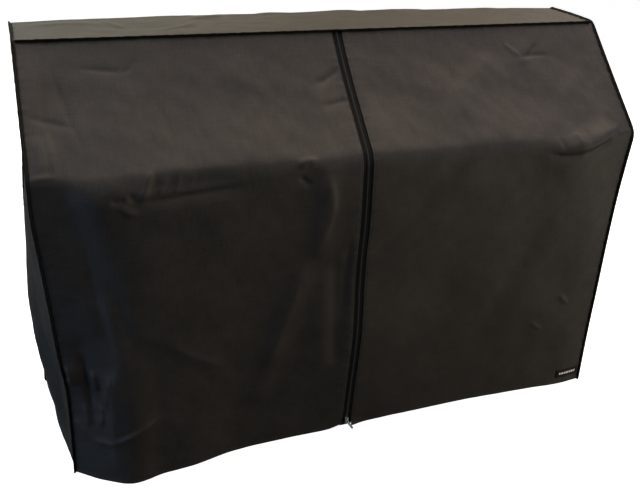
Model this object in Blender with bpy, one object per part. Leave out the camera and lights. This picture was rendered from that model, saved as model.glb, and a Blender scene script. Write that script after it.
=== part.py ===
"""Fitted dust cover for a digital console piano, as it hangs over the instrument.

Metres, +Z up, front towards -Y. The origin is the middle of the piano's top, on the underside of the cover.
The cover is a soft hollow box: a narrow top that turns down the back as one cloth, a front in two halves that
slopes to the key edge and drops to the hem, and two shaped ends. A zip joins the front halves. The seams round
each end and along the top of the front are bound with folded tape, which stands out as a low fin.
"""

import math

import bmesh
import bpy
import numpy as np
from mathutils import Matrix, Vector

# ---- Driving sizes, metres ----
WIDTH = 1.460  # between the two end seams
HEIGHT = 0.987  # hem to top
TOP_DEPTH = 0.197
KEY_HEIGHT = 0.760  # of the key edge, above the hem
KEY_REACH = 0.241  # of the key edge, in front of the top's front edge
CLOTH = 0.002
HEM_CLOTH = 0.0028  # the hem is the same cloth turned up once
SEAM_SET = 0.0032  # how far short of a bound seam's line each panel stops
BACK_FOLD = 0.005  # leg of the soft corner where the top turns down the back
TOP_FIRST_ROW = 0.030  # of the top's grid, in front of the back edge
TOP_CORNER = 0.006  # leg of an end binding's corner at the top of the slope
GAP = 0.0006  # between pieces that are sewn onto each other

BINDING_WIDTH = 0.0065
BINDING_THICK = 0.003
BINDING_ROOT = 0.0018  # how far it reaches in between the edges that it joins
TOP_FIN_LEAN = 0.6  # tangent by which the fin along the top of the front leans forwards
BINDING_FLAT = 0.4  # share of its thickness that stays flat along its rounded outer edge

ZIP_OPENING = 0.0245  # between the edges of the two front panels
ZIP_TAPE_REACH = 0.016  # from the middle of the zip to the hidden edge of a tape
ZIP_TAPE_THICK = 0.001
ZIP_COIL_WIDTH = 0.0052
ZIP_COIL_THICK = 0.0026
ZIP_END = 0.0335  # of the coils, above the hem
TAPE_END = 0.001  # above the hem
TAPE_TUCK = (0.0035, 0.024)  # how much deeper the tapes' lower ends lie, and over what height
ZIP_TOP_SET = 0.005  # how far below the top the zip starts

SLIDER_MIDDLE = (-0.001, 0.025)  # across, and above the hem
SLIDER_WIDTH = 0.0095
SLIDER_FOOT_WIDTH = 0.0062
SLIDER_HEIGHT = 0.012
SLIDER_THICK = 0.0040
SLIDER_OUT = 0.0035  # how far its face stands in front of the cloth
BRIDGE_WIDTH = 0.0016
BRIDGE_LEG = 0.0010
BRIDGE_OPENING = (0.0052, 0.0029)  # along the slider, and out from its face

PULL_LENGTH = 0.0270
PULL_WIDTH = 0.0062
PULL_THICK = 0.0012
PULL_BAR = 0.0012  # the bar of the pull that lies under the bridge
PULL_HOLE = (0.0034, 0.0042)  # across the pull and along it
PULL_SLANT = math.radians(38)  # it lies aside
PULL_SWING = math.radians(47)  # and out in front, with its tip at the height of the hem

LABEL_SIZE = (0.074, 0.024)
LABEL_THICK = 0.0008
LABEL_MIDDLE = (0.679, 0.034)  # across, and above the hem
LABEL_COLUMNS = 5

# ---- Places that follow from them ----
MM = 0.001
HEIGHT_MM = HEIGHT / MM
TOP_Z = CLOTH
HEM_Z = TOP_Z - HEIGHT
FRONT_Y = -TOP_DEPTH / 2
BACK_Y = TOP_DEPTH / 2
SLOPE = KEY_REACH / (HEIGHT - KEY_HEIGHT)
SIGN = {"left": -1, "right": 1}

# ---- How the front hangs, in mm ----
# A row is one upright section through the front, from the left seam to the right one. across is its place,
# sag how far its slope hangs behind a straight line, roll the softness of its turn over the key edge, and
# r760 to r0 how far the drop stands before the top's front edge, at that height above the hem.
FRONT_COLUMNS = ("across", "sag", "roll", "r760", "r700", "r600", "r450", "r300", "r150", "r0")
FRONT_SECTIONS = (
    (-730, 2, 12, 240, 239, 237, 230, 222, 213, 209),
    (-665, 8, 16, 245, 245, 245, 247, 250, 254, 260),
    (-605, 12, 34, 271, 267, 260, 264, 274, 284, 291),
    (-520, 14, 26, 256, 260, 268, 270, 271, 275, 277),
    (-440, 15, 24, 250, 255, 262, 262, 262, 266, 269),
    (-350, 16, 26, 250, 253, 256, 254, 252, 250, 250),
    (-200, 18, 24, 245, 249, 248, 243, 242, 240, 239),
    (0, 17, 22, 249, 253, 255, 250, 259, 252, 236),
    (230, 18, 26, 248, 252, 251, 246, 241, 233, 226),
    (440, 16, 24, 252, 252, 249, 243, 237, 231, 227),
    (560, 12, 18, 272, 262, 250, 241, 235, 231, 230),
    (665, 6, 12, 247, 246, 243, 238, 232, 231, 236),
    (730, 2, 10, 242, 239, 233, 229, 226, 223, 229),
)
DROP_HEIGHTS = (0, 150, 300, 450, 600, 700, 760)

# Long soft folds of the front, in mm: each runs from (x0, z0) to (x1, z1), across and above the hem, with its
# half-width and how far it stands out, or in where that is negative.
FRONT_FOLDS = (
    # name                               x0   z0    x1   z1  half_width  out
    ("left of the zip, upper",          -97, 740, -110, 560, 26, 5),
    ("left of the zip, lower",         -157, 455, -250, 185, 30, 7),
    ("dip close beside the zip",        -62, 470,  -56, 250, 22, -6),
    ("left slant",                     -522, 380, -387, 279, 28, 2),
    ("pocket under the left key corner", -640, 640, -612, 400, 30, -5),
    ("crumple beside the left seam",   -684, 350, -662, 205, 26, -7),
    ("right slant, upper",              211, 690,   66, 550, 34, -6),
    ("right slant, lower",              361, 207,  472, 461, 44, -5),
)  # fmt: skip

# How far the zip hangs to one side of the cover's middle, in mm at heights above the hem. The cloth beside it
# goes with it, less and less over SWAY_REACH.
SWAY_HEIGHTS = (0, 110, 300, 480, 620, 740, 800, 987)
SWAY = (-10.0, -11.0, -6.5, -5.0, -4.0, -3.5, 0.0, 0.0)
SWAY_REACH = 260

# The free corners of the hem beside the zip, moved in mm: aside from the zip, out to the front, and up. Each
# move fades out over NOTCH_REACH across and upwards.
NOTCH_CORNERS = {"left": (0, -1, 6), "right": (1, 5, 0)}
NOTCH_REACH = (24, 15)

# ---- How the ends hang, in mm ----
# How far each end stands outside the plane of WIDTH (inside where negative), at these heights above the hem:
# along its front seam, half-way back, and at the back edge.
END_HEIGHTS = (0, 150, 260, 330, 450, 600, 680, 760, 987)
END_LINES = {
    "left": {
        "seam": (-31, -33, -31, -23, -15, -4, 2, 2, -3),
        "middle": (-8, 4, 18, 24, 22, 13, 2, -6, -6),
        "back": (9, 6, 12, 14, 12, 5, -2, -6, -5),
    },
    "right": {
        "seam": (-8, -5, -6, -7, -9, -9, -8, -6, -5),
        "middle": (1, 4, 6, 7, 7, 6, 4, 3, 1),
        "back": (0, 1, 2, 2, 2, 1, 0, -1, -3),
    },
}

# The top's back edge bows out and up between the ends, in metres. The back hangs from it in waves, each with
# its turns per metre, its lag and its depth at the hem in mm, which fade out over a height in mm.
BACK_BOW = 0.014
BACK_CROWN = 0.004
BACK_WAVES = ((1.4, 0.6, 6), (3.7, -1.1, 4))
BACK_WAVE_HEIGHT = 800

FOLD_FADE = 1.6  # how far a fold goes on past its ends, in half-widths
SHARP_ANGLE = math.radians(50)  # an edge between two faces is shaded as a sharp one from here

# ---- Rows of the panels' grids, in mm above the hem, and numbers of columns ----
HEM_ROWS = (0, 12)
DROP_ROWS = (14, 30, 75, 135, 200, 268, 336, 404, 472, 540, 604, 655, 694)
KEY_ROWS = (718, 736, 752, 769, 790)
SLOPE_ROWS = (818, 852, 890, 930, 965)
END_ROWS = (14, 80, 160, 240, 320, 400, 490, 580, 660, 718, 752, 769, 800, 850, 900, 950)
BACK_ROWS = (14, 100, 220, 360, 500, 640, 780, 900)
FRONT_HALF_COLUMNS = 18  # the first stretch of them is the narrow one over the zip tape
END_COLUMNS = 6
TOP_ROWS = 5
BACK_COLUMNS = 20
CORNER_STEPS = 5


# ---- Curves and surfaces ----
def smooth(places, values, place):
    """A smooth curve through values at places, read at place. values may hold one number for each place, or
    one array the shape of place. Each stretch is a cubic that meets its neighbours with the same slope."""
    places = np.asarray(places, float)
    values = np.asarray(values, float)
    slopes = np.gradient(values, places, axis=0)
    i = np.clip(np.searchsorted(places, place) - 1, 0, len(places) - 2)
    span = places[i + 1] - places[i]
    t = np.clip((place - places[i]) / span, 0.0, 1.0)

    def at(table, index):
        return table[index] if table.ndim == 1 else np.take_along_axis(table, index[None], axis=0)[0]

    return (
        (2 * t**3 - 3 * t**2 + 1) * at(values, i)
        + (t**3 - 2 * t**2 + t) * span * at(slopes, i)
        + (3 * t**2 - 2 * t**3) * at(values, i + 1)
        + (t**3 - t**2) * span * at(slopes, i + 1)
    )


def soft_minimum(a, b, width):
    """The smaller of a and b, rounded off where they differ by less than width."""
    overlap = np.maximum(width - np.abs(a - b), 0.0) / width
    return np.minimum(a, b) - overlap**2 * width / 4


def fold(across, height, x0, z0, x1, z1, half_width, out):
    """One fold: a rounded ridge along its line, which fades out past both ends."""
    length = math.hypot(x1 - x0, z1 - z0)
    along = ((across - x0) * (x1 - x0) + (height - z0) * (z1 - z0)) / length
    aside = ((across - x0) * (z1 - z0) - (height - z0) * (x1 - x0)) / length
    past = np.maximum(np.maximum(-along, along - length), 0.0)
    return out * np.exp(-((aside / half_width) ** 2) - (past / (FOLD_FADE * half_width)) ** 2)


def front_column(name):
    return np.array([row[FRONT_COLUMNS.index(name)] for row in FRONT_SECTIONS], float)


def reach(across, height):
    """How far the front stands before the top's front edge. Everything in mm; across and height match."""
    places = front_column("across")
    straight = (HEIGHT_MM - height) * SLOPE
    down = np.clip(straight / (KEY_REACH / MM), 0.0, 1.0)
    slope = straight - smooth(places, front_column("sag"), across) * 4 * down * (1 - down)
    drop = smooth(DROP_HEIGHTS, [smooth(places, front_column(f"r{z}"), across) for z in DROP_HEIGHTS], height)
    out = soft_minimum(slope, drop, smooth(places, front_column("roll"), across))
    for _, *line in FRONT_FOLDS:
        out = out + fold(across, height, *line)
    return out


def end_x(side, share, height):
    """Place across the cover of one end, at a share of its depth (0 at its front seam, 1 at the back edge)
    and a height in mm."""
    share, height = np.broadcast_arrays(share, height)
    lines = [smooth(END_HEIGHTS, END_LINES[side][line], height) for line in ("seam", "middle", "back")]
    return SIGN[side] * (WIDTH / 2 + MM * smooth((0.0, 0.5, 1.0), lines, share))


def seam_y(side, height):
    """Place from front to back of one front seam, at a height in mm."""
    across = np.full(np.shape(height), SIGN[side] * WIDTH / 2 / MM)
    return FRONT_Y - MM * reach(across, height)


def front_point(x, height):
    """The front's outer surface at x, in metres, and a height in mm."""
    x, height = np.broadcast_arrays(np.asarray(x, float), np.asarray(height, float))
    edge = np.where(x < 0, -end_x("left", 0.0, height), end_x("right", 0.0, height))
    across = x / edge * WIDTH / 2 / MM
    sway = MM * smooth(SWAY_HEIGHTS, SWAY, height) * np.exp(-((x / (MM * SWAY_REACH)) ** 2))
    return np.stack([x + sway, FRONT_Y - MM * reach(across, height), HEM_Z + MM * height], axis=-1)


def front_raised(x, height, out):
    """The same, moved out along the surface's normal, which is taken over a millimetre to either side."""
    aside = front_point(x + MM, height) - front_point(x - MM, height)
    up = front_point(x, height + 1) - front_point(x, height - 1)
    normal = np.cross(aside, up)
    return front_point(x, height) + out * normal / np.linalg.norm(normal, axis=-1, keepdims=True)


# ---- Making objects ----
def clear_scene():
    for old in list(bpy.data.objects):
        bpy.data.objects.remove(old, do_unlink=True)


def material(name, color, roughness, metallic=0.0):
    made = bpy.data.materials.new(name)
    made.use_nodes = True
    shader = made.node_tree.nodes["Principled BSDF"]
    shader.inputs["Base Color"].default_value = (*color, 1.0)
    shader.inputs["Roughness"].default_value = roughness
    shader.inputs["Metallic"].default_value = metallic
    made.diffuse_color = (*color, 1.0)
    return made


def new_object(name, verts, faces, finish):
    mesh = bpy.data.meshes.new(name)
    mesh.from_pydata(np.asarray(verts, float).reshape(-1, 3).tolist(), [], faces)
    mesh.materials.append(finish)
    mesh.shade_smooth()
    mesh.set_sharp_from_angle(angle=SHARP_ANGLE)
    made = bpy.data.objects.new(name, mesh)
    bpy.context.scene.collection.objects.link(made)
    return made


def sheet(name, points, finish):
    """A cloth panel from a grid of points on its outer face, rows from the hem up and columns towards its
    right as seen from outside. It is thickened inwards, and more in the rows of the hem."""
    rows, columns = points.shape[:2]
    faces = [
        (r * columns + c, r * columns + c + 1, (r + 1) * columns + c + 1, (r + 1) * columns + c)
        for r in range(rows - 1)
        for c in range(columns - 1)
    ]
    made = new_object(name, points, faces, finish)
    in_hem = len(HEM_ROWS) * columns
    thickness = made.vertex_groups.new(name="thickness")
    thickness.add(list(range(in_hem)), 1.0, "REPLACE")
    thickness.add(list(range(in_hem, rows * columns)), CLOTH / HEM_CLOTH, "REPLACE")
    solidify = made.modifiers.new("Cloth", "SOLIDIFY")
    solidify.thickness = HEM_CLOTH
    solidify.offset = -1.0
    solidify.vertex_group = thickness.name
    return made


def bar(name, rings, finish):
    """A closed strip through rings of points, each ring in the same order, capped at both ends."""
    rows, count = rings.shape[:2]
    faces = [
        (r * count + c, r * count + (c + 1) % count, (r + 1) * count + (c + 1) % count, (r + 1) * count + c)
        for r in range(rows - 1)
        for c in range(count)
    ]
    faces.append(tuple(reversed(range(count))))
    faces.append(tuple(range((rows - 1) * count, rows * count)))
    return new_object(name, rings, faces, finish)


def binding(name, line, outwards, finish):
    """Folded tape along a seam's line, standing out from it as a flat fin with a rounded edge."""
    tangents = unit(np.gradient(line, axis=0))
    outwards = unit(outwards - (outwards * tangents).sum(axis=1, keepdims=True) * tangents)
    across = np.cross(tangents, outwards) * BINDING_THICK / 2
    shoulder = BINDING_WIDTH - BINDING_THICK / 2
    profile = (
        (-BINDING_ROOT, -1),
        (shoulder, -1),
        (BINDING_WIDTH, -BINDING_FLAT),
        (BINDING_WIDTH, BINDING_FLAT),
        (shoulder, 1),
        (-BINDING_ROOT, 1),
    )
    rings = [line + out * outwards + aside * across for out, aside in profile]
    return bar(name, np.stack(rings, axis=1), finish)


def unit(vectors):
    return vectors / np.linalg.norm(vectors, axis=-1, keepdims=True)


def plate(name, outlines, thick, place, finish):
    """A flat plate: closed outlines in its own plane, the inner ones as holes, given thickness from there
    along its own Z and put in its place."""
    shape = bmesh.new()
    edges = []
    for outline in outlines:
        verts = [shape.verts.new((a, b, 0.0)) for a, b in outline]
        edges += [shape.edges.new((verts[i - 1], verts[i])) for i in range(len(verts))]
    bmesh.ops.triangle_fill(shape, edges=edges, use_beauty=True)
    made = bmesh.ops.extrude_face_region(shape, geom=shape.faces[:])
    moved = [part for part in made["geom"] if isinstance(part, bmesh.types.BMVert)]
    bmesh.ops.translate(shape, verts=moved, vec=(0.0, 0.0, thick))
    bmesh.ops.recalc_face_normals(shape, faces=shape.faces[:])
    mesh = bpy.data.meshes.new(name)
    shape.to_mesh(mesh)
    shape.free()
    mesh.materials.append(finish)
    made = bpy.data.objects.new(name, mesh)
    made.matrix_world = place
    bpy.context.scene.collection.objects.link(made)
    return made


def arc(middle, radius, start, end, steps):
    """Points on an arc about middle, from start to end in degrees."""
    angles = np.radians(np.linspace(start, end, steps))
    return [(middle[0] + radius * math.cos(a), middle[1] + radius * math.sin(a)) for a in angles]


# ---- The cloth panels ----
def front_panel(side, finish):
    """One half of the front, between its end seam and the zip, with its free corner pulled about."""
    sign = SIGN[side]
    top = HEIGHT_MM - SEAM_SET / MM / math.hypot(1, SLOPE)
    heights = np.array([*HEM_ROWS, *DROP_ROWS, *KEY_ROWS, *SLOPE_ROWS, top])[:, None]
    zip_edge, tape_edge = ZIP_OPENING / 2, ZIP_TAPE_REACH + 2 * MM
    seam_edge = sign * end_x(side, 0.0, heights) - SEAM_SET
    share = np.linspace(0, 1, FRONT_HALF_COLUMNS - 1)
    x = np.concatenate([zip_edge + 0 * heights, tape_edge + (seam_edge - tape_edge) * share], axis=1)
    points = front_point(sign * x, heights)
    across_reach, up_reach = NOTCH_REACH
    near = np.exp(-(((x - zip_edge) / MM / across_reach) ** 2) - (heights / up_reach) ** 2)
    aside, out, up = NOTCH_CORNERS[side]
    points += MM * near[..., None] * np.array((sign * aside, -out, up))
    return sheet(f"front_{side}_panel", points[:, ::sign], finish)


def end_panel(side, finish):
    """The shaped cloth of one end, between its front seam, the top and the back."""
    heights = np.array([*HEM_ROWS, *END_ROWS, HEIGHT_MM - SEAM_SET / MM])
    steep = (seam_y(side, heights + 1) - seam_y(side, heights - 1)) / (2 * MM)
    front = (seam_y(side, heights) + SEAM_SET * np.hypot(1, steep))[:, None]
    y = front + (BACK_Y - SEAM_SET - front) * np.linspace(0, 1, END_COLUMNS)
    seam = seam_y(side, heights)[:, None]
    x = end_x(side, (y - seam) / (BACK_Y - seam), heights[:, None])
    z = HEM_Z + MM * heights[:, None] + 0 * y
    return sheet(f"{side}_end_panel", np.stack([x, y, z], axis=-1)[:, :: SIGN[side]], finish)


def rounded_corner(before, corner, after, leg):
    """Points that round a corner between two straight stretches, from leg before it to leg after it."""
    before, corner, after = (np.asarray(point, float) for point in (before, corner, after))
    start = corner + leg * unit(before - corner)
    end = corner + leg * unit(after - corner)
    share = np.linspace(0, 1, CORNER_STEPS)[:, None]
    return (1 - share) ** 2 * start + 2 * share * (1 - share) * corner + share**2 * end


def top_back_panel(finish):
    """The top and the back, cut as one piece and turned over the back edge."""
    up = np.array([*HEM_ROWS, *BACK_ROWS], float)
    back = np.stack([0 * up + BACK_Y, HEM_Z + MM * up], axis=-1)
    depth = np.linspace(BACK_Y - TOP_FIRST_ROW, FRONT_Y + SEAM_SET, TOP_ROWS)
    top = np.stack([depth, 0 * depth + TOP_Z], axis=-1)
    path = np.concatenate([back, rounded_corner(back[-1], (BACK_Y, TOP_Z), top[0], BACK_FOLD), top])
    y, z = path[:, :1], path[:, 1:]
    height = (z - HEM_Z) / MM
    share = (y - FRONT_Y) / TOP_DEPTH
    place = np.linspace(0, 1, BACK_COLUMNS)
    left = end_x("left", share, height) + SEAM_SET
    right = end_x("right", share, height) - SEAM_SET
    x = left + (right - left) * place
    waves = sum(deep * np.sin(2 * math.pi * turns * x + lag) for turns, lag, deep in BACK_WAVES)
    low = np.clip(1 - height / BACK_WAVE_HEIGHT, 0, 1)
    held_at_seams = 1 - (2 * place - 1) ** 4
    bow = held_at_seams * np.clip(share, 0, 1)
    crown = bow * (z > TOP_Z - BACK_FOLD)
    points = np.stack([x, y + BACK_BOW * bow + MM * low * waves * held_at_seams, z + BACK_CROWN * crown], axis=-1)
    return sheet("top_back_panel", points[:, ::-1], finish)


# ---- The bound seams ----
def end_outline(side):
    """Line of one end's seam: up the front, back along the top and down the back."""
    up = np.array([HEM_ROWS[0], *DROP_ROWS[1:], *KEY_ROWS, *SLOPE_ROWS], float)
    front = np.stack([end_x(side, 0.0, up), seam_y(side, up), HEM_Z + MM * up], axis=-1)
    y = np.linspace(FRONT_Y, BACK_Y, TOP_ROWS + 2)[1:-1]
    top = np.stack([end_x(side, (y - FRONT_Y) / TOP_DEPTH, HEIGHT_MM), y, 0 * y + TOP_Z], axis=-1)
    down = np.array([*BACK_ROWS[:0:-1], HEM_ROWS[0]], float)
    back = np.stack([end_x(side, 1.0, down), 0 * down + BACK_Y, HEM_Z + MM * down], axis=-1)
    front_corner = (end_x(side, 0.0, HEIGHT_MM), FRONT_Y, TOP_Z)
    back_corner = (end_x(side, 1.0, HEIGHT_MM), BACK_Y, TOP_Z)
    return np.concatenate(
        [
            front,
            rounded_corner(front[-1], front_corner, top[0], TOP_CORNER),
            top,
            rounded_corner(top[-1], back_corner, back[0], BACK_FOLD),
            back,
        ]
    )


def end_binding(side, finish):
    """One length of tape, sewn round an end from the front hem over the top to the back hem."""
    line = end_outline(side)
    away = unit(np.cross((1.0, 0.0, 0.0), np.gradient(line, axis=0)))
    sideways = np.array((SIGN[side], 0.0, 0.0))
    return binding(f"{side}_end_binding", line, sideways + away, finish)


def top_front_binding(finish):
    """The tape along the top of the front, between the two end bindings."""
    left = end_x("left", 0.0, HEIGHT_MM) + SEAM_SET
    right = end_x("right", 0.0, HEIGHT_MM) - SEAM_SET
    x = np.linspace(left, right, BACK_COLUMNS)
    line = np.stack([x, 0 * x + FRONT_Y, 0 * x + TOP_Z], axis=-1)
    front_normal = unit(np.array((0.0, -1.0, SLOPE)))
    lean = np.array((0.0, -TOP_FIN_LEAN, 0.0))
    return binding("top_front_binding", line, front_normal + lean + 0 * line, finish)


# ---- The zip ----
def zip_heights(end):
    rows = [z for z in (*DROP_ROWS, *KEY_ROWS, *SLOPE_ROWS) if z > end / MM]
    return np.array([end / MM, *rows, HEIGHT_MM - ZIP_TOP_SET / MM])[:, None]


def zip_tape(side, finish):
    """One tape of the zip, which lies behind the edge of its front panel."""
    heights = zip_heights(TAPE_END)
    edges = SIGN[side] * np.array((ZIP_COIL_WIDTH / 2 + GAP, ZIP_TAPE_REACH))
    x = np.sort(edges) + 0 * heights
    deeper, over = TAPE_TUCK
    face = -CLOTH - GAP - deeper * np.exp(-((heights * MM / over) ** 2)) + 0 * x
    outer = front_raised(x, heights, face[..., None])
    inner = front_raised(x, heights, face[..., None] - ZIP_TAPE_THICK)
    return bar(f"zip_tape_{side}", np.concatenate([outer, inner[:, ::-1]], axis=1), finish)


def zip_coil(finish):
    """The closed row of coils between the two tapes, with a rounded front."""
    heights = zip_heights(ZIP_END)
    front = np.array((-1, -0.5, 0.5, 1)) * ZIP_COIL_WIDTH / 2 + 0 * heights
    back = front[:, [3, 0]]
    crown = -CLOTH + ZIP_COIL_THICK / 2
    shoulders = np.array((crown - ZIP_COIL_THICK / 3, crown, crown, crown - ZIP_COIL_THICK / 3))
    outer = front_raised(front, heights, shoulders[:, None] + 0 * front[..., None])
    inner = front_raised(back, heights, crown - ZIP_COIL_THICK)
    return bar("zip_coil", np.concatenate([outer, inner], axis=1), finish)


def slider_face():
    """The middle of the slider's front face."""
    across, up = SLIDER_MIDDLE
    point = front_point(across, up / MM)
    return Vector((float(point[0]), float(point[1]) - SLIDER_OUT, HEM_Z + up))


def zip_slider(finish):
    """The slider: a shield-shaped body, wide above where the tapes part, and a bridge over its face."""
    half, foot, high = SLIDER_WIDTH / 2, SLIDER_FOOT_WIDTH / 2, SLIDER_HEIGHT / 2
    shield = [
        *arc((half - foot / 2, high - foot / 2), foot / 2, 0, 90, 4),
        (0.0, high - foot / 3),
        *arc((foot / 2 - half, high - foot / 2), foot / 2, 90, 180, 4),
        (-half, high / 4),
        *arc((foot / 2 - foot, foot / 2 - high), foot / 2, 180, 270, 4),
        *arc((foot - foot / 2, foot / 2 - high), foot / 2, 270, 360, 4),
        (half, high / 4),
    ]
    upright = Matrix.Rotation(math.radians(90), 4, "X")
    back = slider_face() + Vector((0.0, SLIDER_THICK, 0.0))
    body = plate("zip_slider", [shield], SLIDER_THICK, Matrix.Translation(back) @ upright, finish)

    long, deep = BRIDGE_OPENING
    sunk = BRIDGE_LEG / 2
    out, leg = deep + BRIDGE_LEG, long / 2 + BRIDGE_LEG
    staple = [
        (sunk, -leg),
        (sunk, -long / 2),
        (-deep, -long / 2),
        (-deep, long / 2),
        (sunk, long / 2),
        (sunk, leg),
        (-out + BRIDGE_LEG / 2, leg),
        (-out, leg - BRIDGE_LEG / 2),
        (-out, -leg + BRIDGE_LEG / 2),
        (-out + BRIDGE_LEG / 2, -leg),
    ]
    sideways = Matrix(((0, 0, 1, 0), (1, 0, 0, 0), (0, 1, 0, 0), (0, 0, 0, 1)))
    side = slider_face() - Vector((BRIDGE_WIDTH / 2, 0.0, 0.0))
    bridge = plate("bridge", [staple], BRIDGE_WIDTH, Matrix.Translation(side) @ sideways, finish)
    bridge.hide_render = True
    bridge.display_type = "WIRE"
    union = body.modifiers.new("Bridge", "BOOLEAN")
    union.operation = "UNION"
    union.solver = "EXACT"
    union.object = bridge
    return body


def zip_pull(finish):
    """The pull tab: a rounded plate that hangs on the bridge by the hole near its upper end."""
    half = PULL_WIDTH / 2
    wide, long = PULL_HOLE[0] / 2, PULL_HOLE[1] / 2
    top, foot = long + PULL_BAR, long + PULL_BAR - PULL_LENGTH
    outline = [
        *arc((half / 2, top - half / 2), half / 2, 0, 90, 4),
        *arc((-half / 2, top - half / 2), half / 2, 90, 180, 4),
        *arc((0.0, foot + half), half, 180, 360, 9),
    ]
    hole = [
        *arc((wide / 2, long - wide / 2), wide / 2, 0, 90, 3),
        *arc((-wide / 2, long - wide / 2), wide / 2, 90, 180, 3),
        *arc((-wide / 2, wide / 2 - long), wide / 2, 180, 270, 3),
        *arc((wide / 2, wide / 2 - long), wide / 2, 270, 360, 3),
    ]
    long_open, deep = BRIDGE_OPENING
    corner = slider_face() - Vector((0.0, deep + BRIDGE_LEG / 2, (long_open + BRIDGE_LEG) / 2))
    upright = Matrix.Rotation(math.radians(90), 4, "X")
    turned = Matrix.Rotation(-PULL_SLANT, 4, "Y") @ Matrix.Rotation(-PULL_SWING, 4, "X") @ upright
    place = Matrix.Translation(corner) @ turned @ Matrix.Translation((0.0, 0.0, -PULL_THICK / 2))
    return plate("zip_pull", [outline, hole], PULL_THICK, place, finish)


# ---- The label ----
def label(finish):
    """A plain woven label, sewn flat on the right half of the front above the hem."""
    across, up = LABEL_MIDDLE
    wide, high = LABEL_SIZE
    x = across + wide * np.linspace(-0.5, 0.5, LABEL_COLUMNS) + np.zeros((2, 1))
    heights = (up + high * np.array([[-0.5], [0.5]])) / MM + 0 * x
    outer = front_raised(x, heights, GAP + LABEL_THICK)
    inner = front_raised(x, heights, GAP)
    return bar("label", np.concatenate([outer, inner[:, ::-1]], axis=1), finish)


clear_scene()
cloth = material("Woven polyester, charcoal", (0.030, 0.027, 0.024), 0.75)
tape = material("Binding tape, black", (0.010, 0.010, 0.010), 0.80)
zip_cloth = material("Zip tape, black", (0.008, 0.008, 0.008), 0.70)
nylon = material("Nylon coil, black", (0.012, 0.012, 0.012), 0.45)
nickel = material("Nickel-plated zinc", (0.75, 0.74, 0.71), 0.28, 1.0)
label_weave = material("Woven label, black", (0.006, 0.006, 0.006), 0.65)
for end in SIGN:
    front_panel(end, cloth)
    end_panel(end, cloth)
    end_binding(end, tape)
    zip_tape(end, zip_cloth)
top_back_panel(cloth)
top_front_binding(tape)
zip_coil(nylon)
zip_slider(nickel)
zip_pull(nickel)
label(label_weave)
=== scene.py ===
"""The looks of a fitted dust cover for a digital console piano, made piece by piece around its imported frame.

Metres, +Z up, front towards -Y. Each piece is a surface worked out on a grid; sizes in the tables are in mm.
"""

import math

import bmesh
import bpy
import numpy as np
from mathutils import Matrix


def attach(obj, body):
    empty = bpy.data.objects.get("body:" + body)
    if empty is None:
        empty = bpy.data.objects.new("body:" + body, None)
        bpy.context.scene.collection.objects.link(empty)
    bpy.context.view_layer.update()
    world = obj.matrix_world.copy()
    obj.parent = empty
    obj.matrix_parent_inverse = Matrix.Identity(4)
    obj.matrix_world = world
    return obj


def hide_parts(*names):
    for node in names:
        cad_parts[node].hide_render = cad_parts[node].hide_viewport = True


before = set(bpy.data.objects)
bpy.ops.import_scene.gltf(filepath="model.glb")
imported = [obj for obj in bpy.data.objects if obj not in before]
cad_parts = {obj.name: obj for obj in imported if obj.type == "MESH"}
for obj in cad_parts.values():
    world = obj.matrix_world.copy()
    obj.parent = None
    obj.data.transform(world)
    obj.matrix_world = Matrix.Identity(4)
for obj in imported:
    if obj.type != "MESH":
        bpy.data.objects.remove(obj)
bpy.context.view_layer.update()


# ---- Cloth of the front: two halves that hang from the top seam ----
# Plain-woven polyester of about 300 g, dyed charcoal. Each half is one length, held by the top seam and the
# piano's key edge: it sags between them, rolls softly over the edge, and falls free to a turned hem.
MM = 0.001
WIDTH = 1460.0  # between the two end seams
HEIGHT = 987.0  # hem to top
TOP_DEPTH = 197.0
KEY_HEIGHT = 760.0  # of the key edge, above the hem
KEY_REACH = 241.0  # of the key edge, in front of the top's front edge
TOP_Z = 2.0
HEM_Z = TOP_Z - HEIGHT
FRONT_Y = -TOP_DEPTH / 2
BACK_Y = TOP_DEPTH / 2
SLOPE = KEY_REACH / (HEIGHT - KEY_HEIGHT)
SIGN = {"left": -1, "right": 1}

# One row for each upright section of the front: its place across, how far its slope sags, how softly it turns
# over the key edge, and how far its drop stands before the top's front edge at each height above the hem.
FRONT_COLUMNS = ("across", "sag", "roll", "r760", "r700", "r600", "r450", "r300", "r150", "r0")
FRONT_SECTIONS = (
    (-730, 2, 12, 240, 239, 237, 230, 222, 213, 209),
    (-665, 8, 16, 245, 245, 245, 247, 250, 254, 260),
    (-605, 12, 34, 271, 267, 260, 264, 274, 284, 291),
    (-520, 14, 26, 256, 260, 268, 270, 271, 275, 277),
    (-440, 15, 24, 250, 255, 262, 262, 262, 266, 269),
    (-350, 16, 26, 250, 253, 256, 254, 252, 250, 250),
    (-200, 18, 24, 245, 249, 248, 243, 242, 240, 239),
    (0, 17, 22, 249, 253, 255, 250, 259, 252, 236),
    (230, 18, 26, 248, 252, 251, 246, 241, 233, 226),
    (440, 16, 24, 252, 252, 249, 243, 237, 231, 227),
    (560, 12, 18, 272, 262, 250, 241, 235, 231, 230),
    (665, 6, 12, 247, 246, 243, 238, 232, 231, 236),
    (730, 2, 10, 242, 239, 233, 229, 226, 223, 229),
)
DROP_HEIGHTS = (0, 150, 300, 450, 600, 700, 760)

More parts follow.
